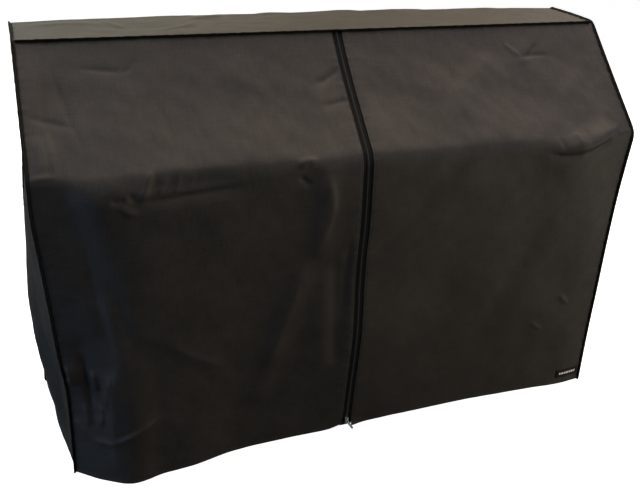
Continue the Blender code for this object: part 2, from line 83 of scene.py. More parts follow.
# Long soft folds: each runs from (x0, z0) to (x1, z1), across and above the hem.
FRONT_FOLDS = (
    # name                                x0   z0    x1   z1  half_width  out
    ("left of the zip, upper",           -97, 740, -110, 560, 26, 5),
    ("left of the zip, lower",          -157, 455, -250, 185, 30, 7),
    ("dip close beside the zip",         -62, 470,  -56, 250, 22, -6),
    ("left slant",                      -522, 380, -387, 279, 28, 2),
    ("pocket under the left key corner", -640, 640, -612, 400, 30, -5),
    ("crumple beside the left seam",    -684, 350, -662, 205, 26, -7),
    ("right slant, upper",               211, 690,   66, 550, 34, -6),
    ("right slant, lower",               361, 207,  472, 461, 44, -5),
)  # fmt: skip
FOLD_FADE = 1.6  # how far a fold goes on past its ends, in half-widths

# How far the zip hangs to one side of the cover's middle, at heights above the hem. The cloth beside it goes
# with it, less and less over SWAY_REACH.
SWAY_HEIGHTS = (0, 110, 300, 480, 620, 740, 800, 987)
SWAY = (-10.0, -11.0, -6.5, -5.0, -4.0, -3.5, 0.0, 0.0)
SWAY_REACH = 260

# The free corners of the hem beside the zip, moved aside from it, out to the front, and up. Each move fades out
# over NOTCH_REACH, across and upwards.
NOTCH_CORNERS = {"left": (0, -1, 6), "right": (1, 5, 0)}
NOTCH_REACH = (24, 15)
ZIP_OPENING = 24.5  # between the edges of the two front panels
FIN_HALF = 1.5  # half the thickness of the bound seams

# One row for each crease: three places on it, across and above the hem, its width on the left and the right
# of the way it runs, how far it stands out (in where negative), and its form, from 1 (sharp) to 2 (soft).
FRONT_CREASES = (
    # name                            x0   z0     x1   z1     x2   z2  left right  out  form
    ("pressed line down the left",   -671, 981,  -684, 887,  -690, 844,  5,  6, -2.4, 1.3),
    ("pressed line aslant",          -664, 951,  -640, 868,  -612, 787,  6,  6, -2.0, 1.3),
    ("pressed line across",          -724, 864,  -675, 851,  -626, 838,  5,  9, -2.8, 1.3),
    ("edge of the pressed patch",    -685, 838,  -679, 800,  -677, 764,  4, 10,  3.4, 1.4),
    ("lower edge of the patch",      -724, 766,  -700, 765,  -678, 767,  7,  5,  2.6, 1.4),
    ("swelling of the patch",        -706, 835,  -702, 800,  -704, 768, 16, 16,  4.0, 2.0),
    ("crease below the top",         -612, 935,  -555, 929,  -510, 924, 10,  6, -3.2, 1.4),
    ("hook at its end",              -516, 923,  -494, 933,  -483, 953,  8,  6, -3.0, 1.5),
    ("pucker at the zip, upper",      -84, 884,   -47, 897,   -12, 916,  9,  9, -4.4, 1.6),
    ("pucker at the zip, lower",      -84, 846,   -44, 850,   -10, 858,  9, 10, -3.4, 1.6),
    ("standing pleat",               -521, 704,  -504, 737,  -486, 766,  7,  8,  7.0, 1.7),
    ("tuck beside it, left",         -580, 724,  -564, 712,  -547, 722,  7,  5, -5.0, 1.4),
    ("tuck beside it, right",        -546, 722,  -536, 719,  -525, 706,  5,  5, -4.0, 1.4),
    ("fold under the pleat",         -563, 708,  -545, 688,  -521, 683,  8,  9,  3.4, 1.6),
    ("tuck under the roll",          -523, 703,  -420, 709,  -292, 716,  5,  5, -5.0, 1.3),
    ("hollow under the roll",        -548, 738,  -420, 736,  -290, 742, 17, 15, -5.5, 2.0),
    ("swelling under the tuck",      -535, 680,  -420, 684,  -285, 690, 14, 46,  4.0, 2.0),
    ("small pleat",                  -481, 718,  -470, 735,  -456, 755,  4,  6,  3.4, 1.5),
    ("second small pleat",           -446, 718,  -438, 734,  -430, 752,  4,  6,  2.8, 1.5),
    ("third small pleat",            -412, 724,  -406, 740,  -399, 754,  5,  6,  1.6, 1.5),
    ("knuckle",                      -170, 745,  -147, 757,  -116, 751,  7, 11,  7.0, 1.7),
    ("nick under the knuckle",       -166, 725,  -150, 714,  -134, 703,  5,  6, -5.0, 1.5),
    ("ridge below the knuckle",      -108, 730,   -84, 645,  -120, 540,  9, 24,  5.0, 1.7),
    ("lower ridge",                  -152, 458,  -190, 358,  -245, 205, 11, 26,  4.2, 1.7),
    ("groove beside the zip",         -34, 562,   -37, 467,   -39, 310, 10, 10, -3.4, 1.8),
    ("streak aslant",                -482, 366,  -414, 309,  -331, 259,  9, 12,  1.5, 1.6),
    ("sharp fold over the hem, left", -650, 118, -630, 111,  -604, 115,  4,  8,  4.0, 1.3),
    ("sharp fold over the hem",      -614, 113,  -563, 139,  -504, 166,  4,  8,  6.5, 1.3),
    ("crumple by the seam",          -700, 322,  -689, 290,  -692, 256,  7,  7, 10.0, 1.4),
    ("hollow beside it",             -662, 354,  -655, 277,  -646, 186,  7,  8, -9.0, 1.5),
    ("second crumple",               -646, 308,  -639, 275,  -638, 246,  6,  6, 10.0, 1.4),
    ("thin streak",                  -606, 304,  -614, 250,  -622, 198,  5,  7,  7.0, 1.3),
    ("second thin streak",           -636, 216,  -628, 186,  -636, 152,  5,  6,  7.0, 1.4),
    ("third thin streak",            -668, 214,  -660, 180,  -662, 146,  5,  6,  4.4, 1.4),
    ("pucker at the seam, low",      -694, 170,  -676, 140,  -670, 100,  8,  9,  3.6, 1.5),
    ("corner fold, upper",           -613, 525,  -592, 410,  -580, 318, 22, 13,  4.0, 1.7),
    ("corner fold, lower",           -581, 332,  -608, 200,  -601,   5, 15, 11,  6.5, 1.5),
    ("groove beside the corner",     -592, 530,  -566, 430,  -560, 335, 13, 14, -3.0, 1.8),
    ("line under the key corner",    -640, 640,  -624, 500,  -608, 400, 10, 10, -2.0, 1.6),
    ("left leg of the V",             444, 950,   462, 932,   481, 917,  4,  6,  3.6, 1.3),
    ("right leg of the V",            542, 948,   518, 930,   498, 914,  6,  5, -3.4, 1.4),
    ("foot of the V",                 478, 916,   520, 921,   570, 919,  8,  5, -3.4, 1.4),
    ("hollow under the V",            484, 912,   478, 885,   470, 850, 16, 16, -3.0, 2.0),
    ("shade aslant",                  430, 922,   300, 866,   205, 772, 60, 26,  5.5, 2.0),
    ("dish along the right seam",     648, 965,   655, 880,   640, 800, 34, 34, -5.0, 2.0),
    ("tuck under the lip, left",      464, 732,   526, 719,   576, 722,  6, 12, -5.0, 1.4),
    ("tuck under the lip, right",     566, 720,   621, 729,   668, 756,  5,  8, -5.0, 1.4),
    ("swelling of the lip",           505, 736,   610, 745,   690, 776, 30,  8, 13.0, 2.0),
    ("ripple on the lip",             510, 762,   513, 749,   517, 736,  5,  6, -2.6, 1.5),
    ("second ripple",                 556, 768,   559, 754,   561, 740,  5,  7,  3.0, 1.5),
    ("third ripple",                  590, 772,   588, 756,   585, 740,  5,  7, -3.6, 1.5),
    ("mark on the right drop",        601, 302,   617, 286,   634, 268,  5,  6,  2.6, 1.5),
    ("second mark",                   521, 229,   540, 213,   562, 196,  6,  5,  2.0, 1.5),
)  # fmt: skip

# How far each end stands outside the cover's width, at these heights: at its front seam, half-way and behind.
END_HEIGHTS = (0, 150, 260, 330, 450, 600, 680, 760, 987)
END_LINES = {
    "left": {
        "seam": (-31, -33, -31, -23, -15, -4, 2, 2, -3),
        "middle": (-8, 4, 18, 24, 22, 13, 2, -6, -6),
        "back": (9, 6, 12, 14, 12, 5, -2, -6, -5),
    },
    "right": {
        "seam": (-8, -5, -6, -7, -9, -9, -8, -6, -5),
        "middle": (1, 4, 6, 7, 7, 6, 4, 3, 1),
        "back": (0, 1, 2, 2, 2, 1, 0, -1, -3),
    },
}


def smooth(places, values, place):
    """A smooth curve through values at places, read at place: each stretch is a cubic that meets its
    neighbours with the same slope. values may hold one number for each place, or one array like place."""
    places = np.asarray(places, float)
    values = np.asarray(values, float)
    slopes = np.gradient(values, places, axis=0)
    i = np.clip(np.searchsorted(places, place) - 1, 0, len(places) - 2)
    span = places[i + 1] - places[i]
    t = np.clip((place - places[i]) / span, 0.0, 1.0)

    def at(table, index):
        return table[index] if table.ndim == 1 else np.take_along_axis(table, index[None], axis=0)[0]

    return (
        (2 * t**3 - 3 * t**2 + 1) * at(values, i)
        + (t**3 - 2 * t**2 + t) * span * at(slopes, i)
        + (3 * t**2 - 2 * t**3) * at(values, i + 1)
        + (t**3 - t**2) * span * at(slopes, i + 1)
    )


def end_x(side, share, height):
    """Place across of one end, at a share of its depth from the front seam back, and a height."""
    share, height = np.broadcast_arrays(np.asarray(share, float), np.asarray(height, float))
    lines = [smooth(END_HEIGHTS, END_LINES[side][line], height) for line in ("seam", "middle", "back")]
    return SIGN[side] * (WIDTH / 2 + smooth((0.0, 0.5, 1.0), lines, share))


def reach(across, height):
    """How far the front stands before the top's front edge: the sagging slope or the drop, whichever is less,
    with a rounded turn between them, and the long soft folds on top as rounded ridges."""
    columns = {name: [row[k] for row in FRONT_SECTIONS] for k, name in enumerate(FRONT_COLUMNS)}
    places = columns["across"]
    straight = (HEIGHT - height) * SLOPE
    down = np.clip(straight / KEY_REACH, 0.0, 1.0)
    slope = straight - smooth(places, columns["sag"], across) * 4 * down * (1 - down)
    drop = smooth(DROP_HEIGHTS, [smooth(places, columns[f"r{z}"], across) for z in DROP_HEIGHTS], height)
    roll = smooth(places, columns["roll"], across)
    overlap = np.maximum(roll - np.abs(slope - drop), 0.0) / roll
    out = np.minimum(slope, drop) - overlap**2 * roll / 4
    for _, x0, z0, x1, z1, half_width, depth in FRONT_FOLDS:
        length = math.hypot(x1 - x0, z1 - z0)
        along = ((across - x0) * (x1 - x0) + (height - z0) * (z1 - z0)) / length
        aside = ((across - x0) * (z1 - z0) - (height - z0) * (x1 - x0)) / length
        past = np.maximum(np.maximum(-along, along - length), 0.0)
        out = out + depth * np.exp(-((aside / half_width) ** 2) - (past / (FOLD_FADE * half_width)) ** 2)
    return out


def front_point(x, height):
    """The front's outer surface, in mm: x across, the reach forwards, the height above the hem."""
    x, height = np.broadcast_arrays(np.asarray(x, float), np.asarray(height, float))
    edge = np.where(x < 0, -end_x("left", 0.0, height), end_x("right", 0.0, height))
    sway = smooth(SWAY_HEIGHTS, SWAY, height) * np.exp(-((x / SWAY_REACH) ** 2))
    return np.stack([x + sway, FRONT_Y - reach(x / edge * WIDTH / 2, height), HEM_Z + height], axis=-1)


def unit(vectors):
    return vectors / np.maximum(np.linalg.norm(vectors, axis=-1, keepdims=True), 1e-12)


def raised(points, out):
    """Grid points moved out along the surface's normal: the cross product of its two directions."""
    normal = unit(np.cross(np.gradient(points, axis=1), np.gradient(points, axis=0)))
    return points + np.asarray(out)[..., None] * normal


CREASE_STEPS = 12
CREASE_FADE = 0.3  # share of a crease's length over which it fades in, and out again
CREASE_TIP = 0.12  # share of its depth that is left at its ends


def creased(across, along, creases):
    """Sum of creases on a surface: each is a curve through its three places, falls off on both sides of it as
    exp(-(d / width) ^ form), and fades in and out along it."""
    total = np.zeros(np.broadcast_shapes(across.shape, along.shape))
    t = np.linspace(0, 1, CREASE_STEPS + 1)
    for *_, x0, s0, x1, s1, x2, s2, left, right, out, form in creases:
        bend = (2 * x1 - (x0 + x2) / 2, 2 * s1 - (s0 + s2) / 2)
        path = [
            (1 - t) ** 2 * a + 2 * t * (1 - t) * b + t**2 * c
            for a, b, c in zip((x0, s0), bend, (x2, s2), strict=True)
        ]
        nearest = np.full(total.shape, np.inf)
        aside = np.zeros(total.shape)
        share = np.zeros(total.shape)
        for k in range(CREASE_STEPS):
            ax, az = path[0][k], path[1][k]
            dx, dz = path[0][k + 1] - ax, path[1][k + 1] - az
            run = dx * dx + dz * dz
            part = np.clip(((across - ax) * dx + (along - az) * dz) / run, 0.0, 1.0)
            off = np.hypot(across - ax - part * dx, along - az - part * dz)
            side = np.sign(dx * (along - az) - dz * (across - ax))
            closer = off < nearest
            nearest = np.where(closer, off, nearest)
            aside = np.where(closer, side, aside)
            share = np.where(closer, (k + part) / CREASE_STEPS, share)
        width = np.where(aside > 0, left, right)
        ends = np.clip(np.minimum(share, 1 - share) / CREASE_FADE, 0.0, 1.0)
        fade = CREASE_TIP + (1 - CREASE_TIP) * ends * ends * (3 - 2 * ends)
        total += out * fade * np.exp(-((nearest / width) ** form))
    return total


RUMPLE_SIZES = ((260, 1.8), (130, 1.0), (62, 0.45), (30, 0.16))  # wavelength and depth
RUMPLE_WAVES = 10


def rumple(across, along, seed):
    """Random soft unevenness of loose cloth: for each wavelength, some sine waves in random directions."""
    rng = np.random.default_rng(seed)
    total = np.zeros(np.broadcast_shapes(across.shape, along.shape))
    for wavelength, depth in RUMPLE_SIZES:
        for _ in range(RUMPLE_WAVES):
            turn, lag = rng.uniform(0, 2 * math.pi, 2)
            pitch = wavelength * rng.uniform(0.7, 1.4)
            wave = (across * math.cos(turn) + along * math.sin(turn)) * 2 * math.pi / pitch
            total += depth / math.sqrt(RUMPLE_WAVES) * np.sin(wave + lag)
    return total


PUCKER_PITCHES = (17.0, 26.0, 41.0)


def puckers(distance, along, seed, depth=0.7, fade=13.0):
    """Short gathers beside a sewn edge: uneven waves along it that die away from it."""
    rng = np.random.default_rng(seed)
    waves = sum(
        np.sin(2 * math.pi * along / pitch + rng.uniform(0, 6.28) + 1.7 * np.sin(along / 93 + k))
        for k, pitch in enumerate(PUCKER_PITCHES)
    )
    return depth / 2 * waves * np.exp(-np.abs(distance) / fade)


def grid_faces(rows, columns, wrap=False):
    """Quads of a grid of points, rows upwards and columns to the right, as seen from outside."""
    r, c = np.meshgrid(np.arange(rows - 1), np.arange(columns if wrap else columns - 1), indexing="ij")
    right = (c + 1) % columns
    quads = np.stack([r * columns + c, r * columns + right, (r + 1) * columns + right, (r + 1) * columns + c])
    return quads.reshape(4, -1).T


def tube_faces(rows, count):
    """Quads of a closed tube of rings, and a face over each of its ends."""
    first, last = range(count)[::-1], range((rows - 1) * count, rows * count)
    return [*grid_faces(rows, count, wrap=True), first, last]


def new_object(name, data):
    """An object in the scene."""
    made = bpy.data.objects.new(name, data)
    bpy.context.scene.collection.objects.link(made)
    return made


def new_piece(name, points, faces, uv, finish):
    """A mesh from points in mm, faces and a place on the cloth in metres for each point, riding on the root."""
    mesh = bpy.data.meshes.new(name)
    mesh.from_pydata((MM * np.asarray(points, float).reshape(-1, 3)).tolist(), [], [tuple(f) for f in faces])
    corners = np.empty(len(mesh.loops), np.int32)
    mesh.loops.foreach_get("vertex_index", corners)
    layer = mesh.uv_layers.new(name="cloth")
    layer.data.foreach_set("uv", np.asarray(uv, np.float32).reshape(-1, 2)[corners].ravel())
    mesh.materials.append(finish)
    mesh.shade_smooth()
    made = new_object(name, mesh)
    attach(made, "root")
    return made


def arc_lengths(points, axis):
    """Length of cloth from the first row or column, in mm."""
    steps = np.linalg.norm(np.diff(points, axis=axis), axis=-1)
    start = np.zeros_like(np.take(steps, [0], axis=axis))
    return np.concatenate([start, np.cumsum(steps, axis=axis)], axis=axis)


CLOTH_THICK = 0.9  # as it looks: the cloth with the air in its weave
HEM_THICK = 2.0  # the hem, turned up once
HEM_WIDTH = 12.0


def cloth_sheet(name, points, thick, finish):
    """A panel as a closed thin sheet: its grid thickened inwards, by a share of the hem's thickness."""
    u = MM * arc_lengths(points, 1)
    v = MM * arc_lengths(points, 0)
    faces = grid_faces(*points.shape[:2])
    panel = new_piece(name, points, faces, np.stack([u, v], axis=-1), finish)
    group = panel.vertex_groups.new(name="thickness")
    shares = np.round(np.broadcast_to(thick, points.shape[:2]) / HEM_THICK, 2).ravel()
    for share in np.unique(shares):
        group.add(np.nonzero(shares == share)[0].tolist(), float(share), "REPLACE")
    solidify = panel.modifiers.new("Thickness", "SOLIDIFY")
    solidify.thickness = MM * HEM_THICK
    solidify.offset = -1.0
    solidify.vertex_group = group.name
    return panel


def hex_color(text):
    """An sRGB hex value as linear colour."""
    parts = [int(text[k : k + 2], 16) / 255 for k in (1, 3, 5)]
    return (*(p / 12.92 if p <= 0.04045 else ((p + 0.055) / 1.055) ** 2.4 for p in parts), 1.0)


def add(tree, kind, inputs=(), **settings):
    """Adds one node: its settings by name, and its inputs as (socket, value or the socket linked to it)."""
    made = tree.nodes.new(kind)
    for name, value in settings.items():
        setattr(made, name, value)
    for socket, value in inputs:
        if isinstance(value, bpy.types.NodeSocket):
            tree.links.new(value, made.inputs[socket])
        else:
            made.inputs[socket].default_value = value
    return made


def maths(tree, operation, *values):
    """What one maths node gives for its inputs in order."""
    return add(tree, "ShaderNodeMath", enumerate(values), operation=operation).outputs[0]


def new_material(name, inputs):
    """A material, its nodes, and its shader, whose inputs are set by name."""
    made = bpy.data.materials.new(name)
    made.use_nodes = True
    shader = made.node_tree.nodes["Principled BSDF"]
    for socket, value in inputs:
        shader.inputs[socket].default_value = value
    return made, made.node_tree, shader


def woven(name, dark, light, thread_mm, roughness, shine, sheen, bump_mm):
    """Plain-woven yarn: raised crossings from the product of two sines, at the thread's spacing, over slubs
    that run both ways and soft clouds of tone from noise. It breaks up the light into a fine grain, dull when
    seen straight on and paler at a low angle."""
    inputs = (
        ("Roughness", roughness),
        ("Specular IOR Level", shine),
        ("Sheen Weight", sheen),
        ("Sheen Roughness", 0.45),
        ("Sheen Tint", hex_color("#d8cfc4")),
    )
    made, tree, shader = new_material(name, inputs)
    place = add(tree, "ShaderNodeUVMap", uv_map="cloth").outputs["UV"]
    turns = math.pi / (thread_mm * MM)
    scaled = add(tree, "ShaderNodeVectorMath", ((0, place), (1, (turns, turns, turns))), operation="MULTIPLY")
    parts = add(tree, "ShaderNodeSeparateXYZ", (("Vector", scaled.outputs["Vector"]),))
    over, under = (maths(tree, "SINE", parts.outputs[axis]) for axis in "XY")
    crossing = maths(tree, "MULTIPLY", over, under)
    slubs = []
    for stretch in ((300.0, 30.0, 1.0), (30.0, 300.0, 1.0)):
        way = add(tree, "ShaderNodeMapping", (("Vector", place), ("Scale", stretch)))
        slub = add(tree, "ShaderNodeTexNoise", (("Vector", way.outputs["Vector"]), ("Scale", 1.0)))
        slubs.append(slub.outputs["Fac"])
    grain = add(tree, "ShaderNodeTexNoise", (("Vector", place), ("Scale", 320.0), ("Detail", 3.0)))
    rough = maths(tree, "ADD", maths(tree, "ADD", *slubs), grain.outputs["Fac"])
    height = maths(tree, "MULTIPLY_ADD", crossing, 0.4, rough)
    bump = add(tree, "ShaderNodeBump", (("Strength", 0.7), ("Distance", bump_mm * MM), ("Height", height)))
    soft = (("Vector", place), ("Scale", 9.0), ("Detail", 6.0), ("Roughness", 0.65))
    clouds = add(tree, "ShaderNodeTexNoise", soft).outputs["Fac"]
    toned = maths(tree, "MULTIPLY_ADD", rough, 0.5, clouds)
    share = add(tree, "ShaderNodeMapRange", (("Value", toned), ("From Min", 1.0), ("From Max", 1.5)))
    tones = ((6, hex_color(dark)), (7, hex_color(light)))
    colour = add(tree, "ShaderNodeMix", (("Factor", share.outputs["Result"]), *tones), data_type="RGBA")
    tree.links.new(colour.outputs[2], shader.inputs["Base Color"])
    tree.links.new(bump.outputs["Normal"], shader.inputs["Normal"])
    return made


# Real threads are 0.45 mm apart; drawn at 1.1 mm, the finest that still shows near to.
CLOTH_THREAD = 1.1
cloth = woven("Polyester plain weave, charcoal", "#181513", "#302a27", CLOTH_THREAD, 0.6, 0.5, 0.12, 0.3)


def slope_length(height):
    """Length of cloth above the hem at a height: the slope is longer than it is high."""
    return np.where(height < KEY_HEIGHT, height, KEY_HEIGHT + (height - KEY_HEIGHT) * math.hypot(1, SLOPE))


def front_creases():
    """The table of creases with heights turned into lengths of cloth."""
    for name, x0, z0, x1, z1, x2, z2, *form in FRONT_CREASES:
        s0, s1, s2 = (float(slope_length(np.array(z))) for z in (z0, z1, z2))
        yield name, x0, s0, x1, s1, x2, s2, *form


def hem_relief(height):
    """The turned hem stands out a little, is drawn in along its stitches, and rolls under at its edge."""
    turned = 0.3 * (1 - np.tanh((height - HEM_WIDTH) / 1.6))
    stitched = 0.7 * np.exp(-(((height - HEM_WIDTH + 2.5) / 1.3) ** 2))
    return turned - stitched - 1.6 * np.exp(-((height / 1.5) ** 2))


PANEL_STEP = 4.6
PANEL_FOLD = 6.5  # width of the panels' folded edges beside the zip
ZIP_STITCHES = 3.2  # from the panels' edges to the stitches that hold the tapes
HEM_ROWS = (0.0, 0.8, 1.6, 2.6, 4.0, 7.0, 9.0, 10.5, 12.0, 13.5, 16.0)


def spaced(start, end, step):
    """Numbers from start to end, about a step apart."""
    return np.linspace(start, end, max(2, round(abs(end - start) / step) + 1))


def front_points(side):
    """One half of the front on a grid, from the zip to its seam, with creases, unevenness and gathers. Also
    the height of its rows, and how far each point lies from the zip's edge."""
    drop = spaced(HEM_ROWS[-1], KEY_HEIGHT, PANEL_STEP)[1:]
    slope = spaced(KEY_HEIGHT, HEIGHT - FIN_HALF, PANEL_STEP / math.hypot(1, SLOPE))[1:]
    height = np.concatenate([HEM_ROWS, drop, slope])[:, None]
    zip_edge = ZIP_OPENING / 2
    near_zip = np.array([0.0, 0.6, 2.0, 4.0, 6.0, 8.5])
    seam_edge = SIGN[side] * end_x(side, 0.0, height) - FIN_HALF
    wide = zip_edge + near_zip[-1]
    share = np.linspace(0, 1, round((WIDTH / 2 - wide) / PANEL_STEP))[1:]
    x = np.concatenate([zip_edge + near_zip + 0 * height, wide + (seam_edge - wide) * share], axis=1)
    points = front_point(SIGN[side] * x, height + 0 * x)
    aside, out, up = NOTCH_CORNERS[side]
    near = np.exp(-(((x - zip_edge) / NOTCH_REACH[0]) ** 2) - (height / NOTCH_REACH[1]) ** 2)
    points += near[..., None] * np.array((SIGN[side] * aside, -out, up))
    across = SIGN[side] * x
    along = slope_length(height) + 0 * x
    held = 1 - np.exp(-((HEIGHT - height) / 60) ** 2)
    from_zip, from_seam = x - zip_edge, seam_edge - x
    edges = (1 - np.exp(-((from_zip / 40) ** 2))) * (1 - np.exp(-((from_seam / 30) ** 2)))
    loose = (0.25 + 0.75 * held * edges) * (0.7 + 0.3 * np.tanh((height - KEY_HEIGHT) / 40))
    relief = creased(across, along, front_creases()) + rumple(across, along, seed=7) * loose
    relief += puckers(from_zip, along, seed=11) + puckers(from_seam, along, seed=13)
    relief += puckers(HEIGHT - height, across, seed=17) + hem_relief(height)
    relief += -0.8 * np.exp(-(((from_zip - ZIP_STITCHES) / 1.2) ** 2)) - 0.6 * np.exp(-((from_zip / 0.9) ** 2))
    if SIGN[side] < 0:
        points, relief, from_zip = points[:, ::-1], relief[:, ::-1], from_zip[:, ::-1]
    return raised(points, relief), height, from_zip


for side in SIGN:
    points, height, from_zip = front_points(side)
    turned = (height < HEM_WIDTH) | (from_zip < PANEL_FOLD)
    panel = cloth_sheet(f"front_{side}_cloth", points, np.where(turned, HEM_THICK, CLOTH_THICK), cloth)
    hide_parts(f"front_{side}_panel")


# ---- Ends ----
# The same cloth, cut to the piano's outline. The left end bellies out below the key edge and its front edge
# is drawn in towards the floor; the right end hangs nearly flat.
END_SPAN = 430  # width of an end, as its folds are placed on it
END_COLUMNS = 84
END_FOLDS = {
    # y0, s0, y1, s1, y2, s2, left, right, out, form: y in thousandths of END_SPAN from the front seam back, s
    # above the hem
    "left": (
        (350, 60, 420, 260, 400, 480, 60, 60, 7.0, 2.0),
        (690, 20, 640, 220, 700, 430, 50, 50, -7.0, 2.0),
        (240, 500, 330, 620, 420, 700, 36, 26, 3.5, 1.8),
        (120, 20, 150, 160, 130, 300, 26, 36, -5.0, 2.0),
    ),
    "right": (
        (300, 30, 340, 240, 330, 470, 60, 60, 5.0, 2.0),
        (640, 20, 660, 260, 620, 520, 60, 60, -5.0, 2.0),
        (260, 720, 420, 640, 600, 600, 30, 30, 3.0, 1.8),
    ),
}


def end_points(side):
    """One end on a grid, rows up and columns back: a flat cut that bows as its table says, with soft folds."""
    upper = spaced(HEM_ROWS[-1], HEIGHT - FIN_HALF, PANEL_STEP * 1.2)[1:]
    height = np.concatenate([HEM_ROWS, upper])[:, None]
    edge = np.full_like(height, SIGN[side] * WIDTH / 2)
    steep = (reach(edge, height - 1) - reach(edge, height + 1)) / 2
    seam = FRONT_Y - reach(edge, height)
    front = seam + FIN_HALF * np.hypot(1, steep)
    share = np.linspace(0, 1, END_COLUMNS)
    y = front + (BACK_Y - FIN_HALF - front) * share
    deep = (y - seam) / (BACK_Y - seam)
    points = np.stack([end_x(side, deep, height + 0 * y), y, HEM_Z + height + 0 * y], axis=-1)
    depth = BACK_Y - seam
    held = (1 - np.exp(-(((HEIGHT - height) / 90) ** 2))) * np.sin(math.pi * share) ** 0.5
    span = END_SPAN / 1000
    folds = [
        (y0 * span, s0, y1 * span, s1, y2 * span, s2, *form)
        for y0, s0, y1, s1, y2, s2, *form in END_FOLDS[side]
    ]
    relief = creased(share * END_SPAN, height + 0 * y, folds)
    relief = relief * held + rumple(y, height + 0 * y, seed=23 + SIGN[side]) * held
    gathers = puckers(share * depth, height + 0 * y, seed=29)
    relief += gathers + puckers((1 - share) * depth, height + 0 * y, seed=31)
    relief += hem_relief(height)
    if SIGN[side] < 0:
        points, relief = points[:, ::-1], relief[:, ::-1]
    return raised(points, relief), height


for side in SIGN:
    points, height = end_points(side)
    thick = np.where(height < HEM_WIDTH, HEM_THICK, CLOTH_THICK)
    panel = cloth_sheet(f"{side}_end_cloth", points, thick, cloth)
    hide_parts(f"{side}_end_panel")


# ---- Top and back ----
# One cloth: it lies on the piano's top, a little loose, turns down over the back edge without a seam, and
# hangs to the hem in slow waves.
BACK_BOW = 14.0  # how far the back bows out in the middle of its width
BACK_CROWN = 4.0  # how far the top's back edge rises there
BACK_FOLD = 5.0  # reach of the soft corner between them
BACK_WAVES = ((1.4, 0.6, 6.0), (3.7, -1.1, 4.0))  # turns per metre, lag, and depth at the hem
BACK_WAVE_HEIGHT = 800.0  # where they have died away
BACK_STEP = 7.0
TOP_STEP = 4.4
BACK_COLUMNS = 230
PIANO_TOP = -0.8  # the top's relief lies no lower
TOP_CREASES = (
    # name                     x0  s0    x1  s1    x2   s2  left right out form: s forward from the back edge
    ("light line, left",     -536,  25, -503,  74, -478, 128,  7,  9,  2.6, 1.5),
    ("bent line, front",     -424, 140, -345, 120, -312,  58,  8,  9,  2.6, 1.5),
    ("bent line, behind",    -318,  64, -280,  28, -200,  24,  8,  9,  2.8, 1.5),
    ("long wave, left",      -705,  60, -610,  50, -515,  68, 14, 16,  2.0, 2.0),
    ("long wave, middle",    -170,  62,    0,  50,  160,  70, 15, 17,  2.0, 2.0),
    ("long wave, right",      230,  54,  340,  70,  470,  60, 15, 17,  1.8, 2.0),
    ("mark, right",           515, 112,  545, 100,  580, 116,  9,  9, -2.2, 1.6),
)  # fmt: skip
back_rows = np.concatenate([HEM_ROWS, spaced(HEM_ROWS[-1], HEIGHT - BACK_FOLD, BACK_STEP)[1:]])
corner = np.linspace(0, 1, 7)[1:-1]
top_rows = spaced(BACK_Y - BACK_FOLD, FRONT_Y + FIN_HALF, TOP_STEP)
row_y = np.concatenate([0 * back_rows + BACK_Y, BACK_Y - BACK_FOLD * corner**2, top_rows])[:, None]
row_z = np.concatenate([back_rows, HEIGHT - BACK_FOLD * (1 - corner) ** 2, 0 * top_rows + HEIGHT])[:, None]
share = (row_y - FRONT_Y) / TOP_DEPTH
place = np.linspace(0, 1, BACK_COLUMNS)
left = end_x("left", share, row_z) + FIN_HALF
right = end_x("right", share, row_z) - FIN_HALF
x = left + (right - left) * place
waves = sum(deep * np.sin(2 * math.pi * turns * MM * x + lag) for turns, lag, deep in BACK_WAVES)
low = np.clip(1 - row_z / BACK_WAVE_HEIGHT, 0, 1)
held = 1 - (2 * place - 1) ** 4
bow = held * np.clip(share, 0, 1)
crown = bow * (row_z > HEIGHT - BACK_FOLD)
points = np.stack([x, row_y + BACK_BOW * bow + low * waves * held, HEM_Z + row_z + BACK_CROWN * crown], axis=-1)
on_top = row_z > HEIGHT - 1
forward = np.where(on_top, BACK_Y - row_y, -(HEIGHT - row_z)) + 0 * x
relief = creased(x, forward, TOP_CREASES) * on_top
relief += rumple(x, forward, seed=37) * np.where(on_top, 0.85, 1.0) * held
relief += puckers((1 - place) * WIDTH, forward, seed=41) + puckers(place * WIDTH, forward, seed=43)
relief += hem_relief(row_z)
relief = np.where(on_top, np.maximum(relief, PIANO_TOP), relief)
points = raised(points[:, ::-1], relief[:, ::-1])
thick = np.where(row_z < HEM_WIDTH, HEM_THICK, CLOTH_THICK)
top_back = cloth_sheet("top_back_cloth", points, thick, cloth)
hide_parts("top_back_panel")


# ---- Bound seams ----
# Black polyester tape, folded over the raw edges of two panels and stitched through all layers, so that the
# seam stands out as a thin flat fin. It wavers a little, because the cloth on its two sides pulls unevenly.
BINDING_THICK = 3.0
TOP_FIN_LEAN = 0.6  # how far the fin along the top of the front leans forwards
TAPE_THREAD = 0.9
binding_tape = woven("Binding tape, black polyester", "#0b0b0a", "#121211", TAPE_THREAD, 0.8, 0.15, 0.0, 0.22)

BINDING_STEP = 5.0
TOP_TAPE_SET = 3.2  # how far the tape along the top of the front stops short of the end seams
STITCH_OUT = 2.1  # of the bindings' stitches, along the fin
STITCH_DIP = 0.74  # share of the tape's half thickness there
BINDING_PROFILE = (
    # out along the fin, share of its half thickness
    (-1.8, -0.80), (0.4, -1.0), (1.4, -0.82), (2.1, -0.74), (2.8, -0.82), (4.2, -1.0),
    (5.4, -0.92), (6.1, -0.6), (6.5, 0.0), (6.1, 0.6), (5.4, 0.92), (4.2, 1.0),
    (2.8, 0.82), (2.1, 0.74), (1.4, 0.82), (0.4, 1.0), (-1.8, 0.80),
)  # fmt: skip


def read_at(at, along, vectors):
    """Vectors that are known at the lengths along, read at other lengths."""
    return np.stack([np.interp(at, along, vectors[:, k]) for k in range(3)], axis=1)


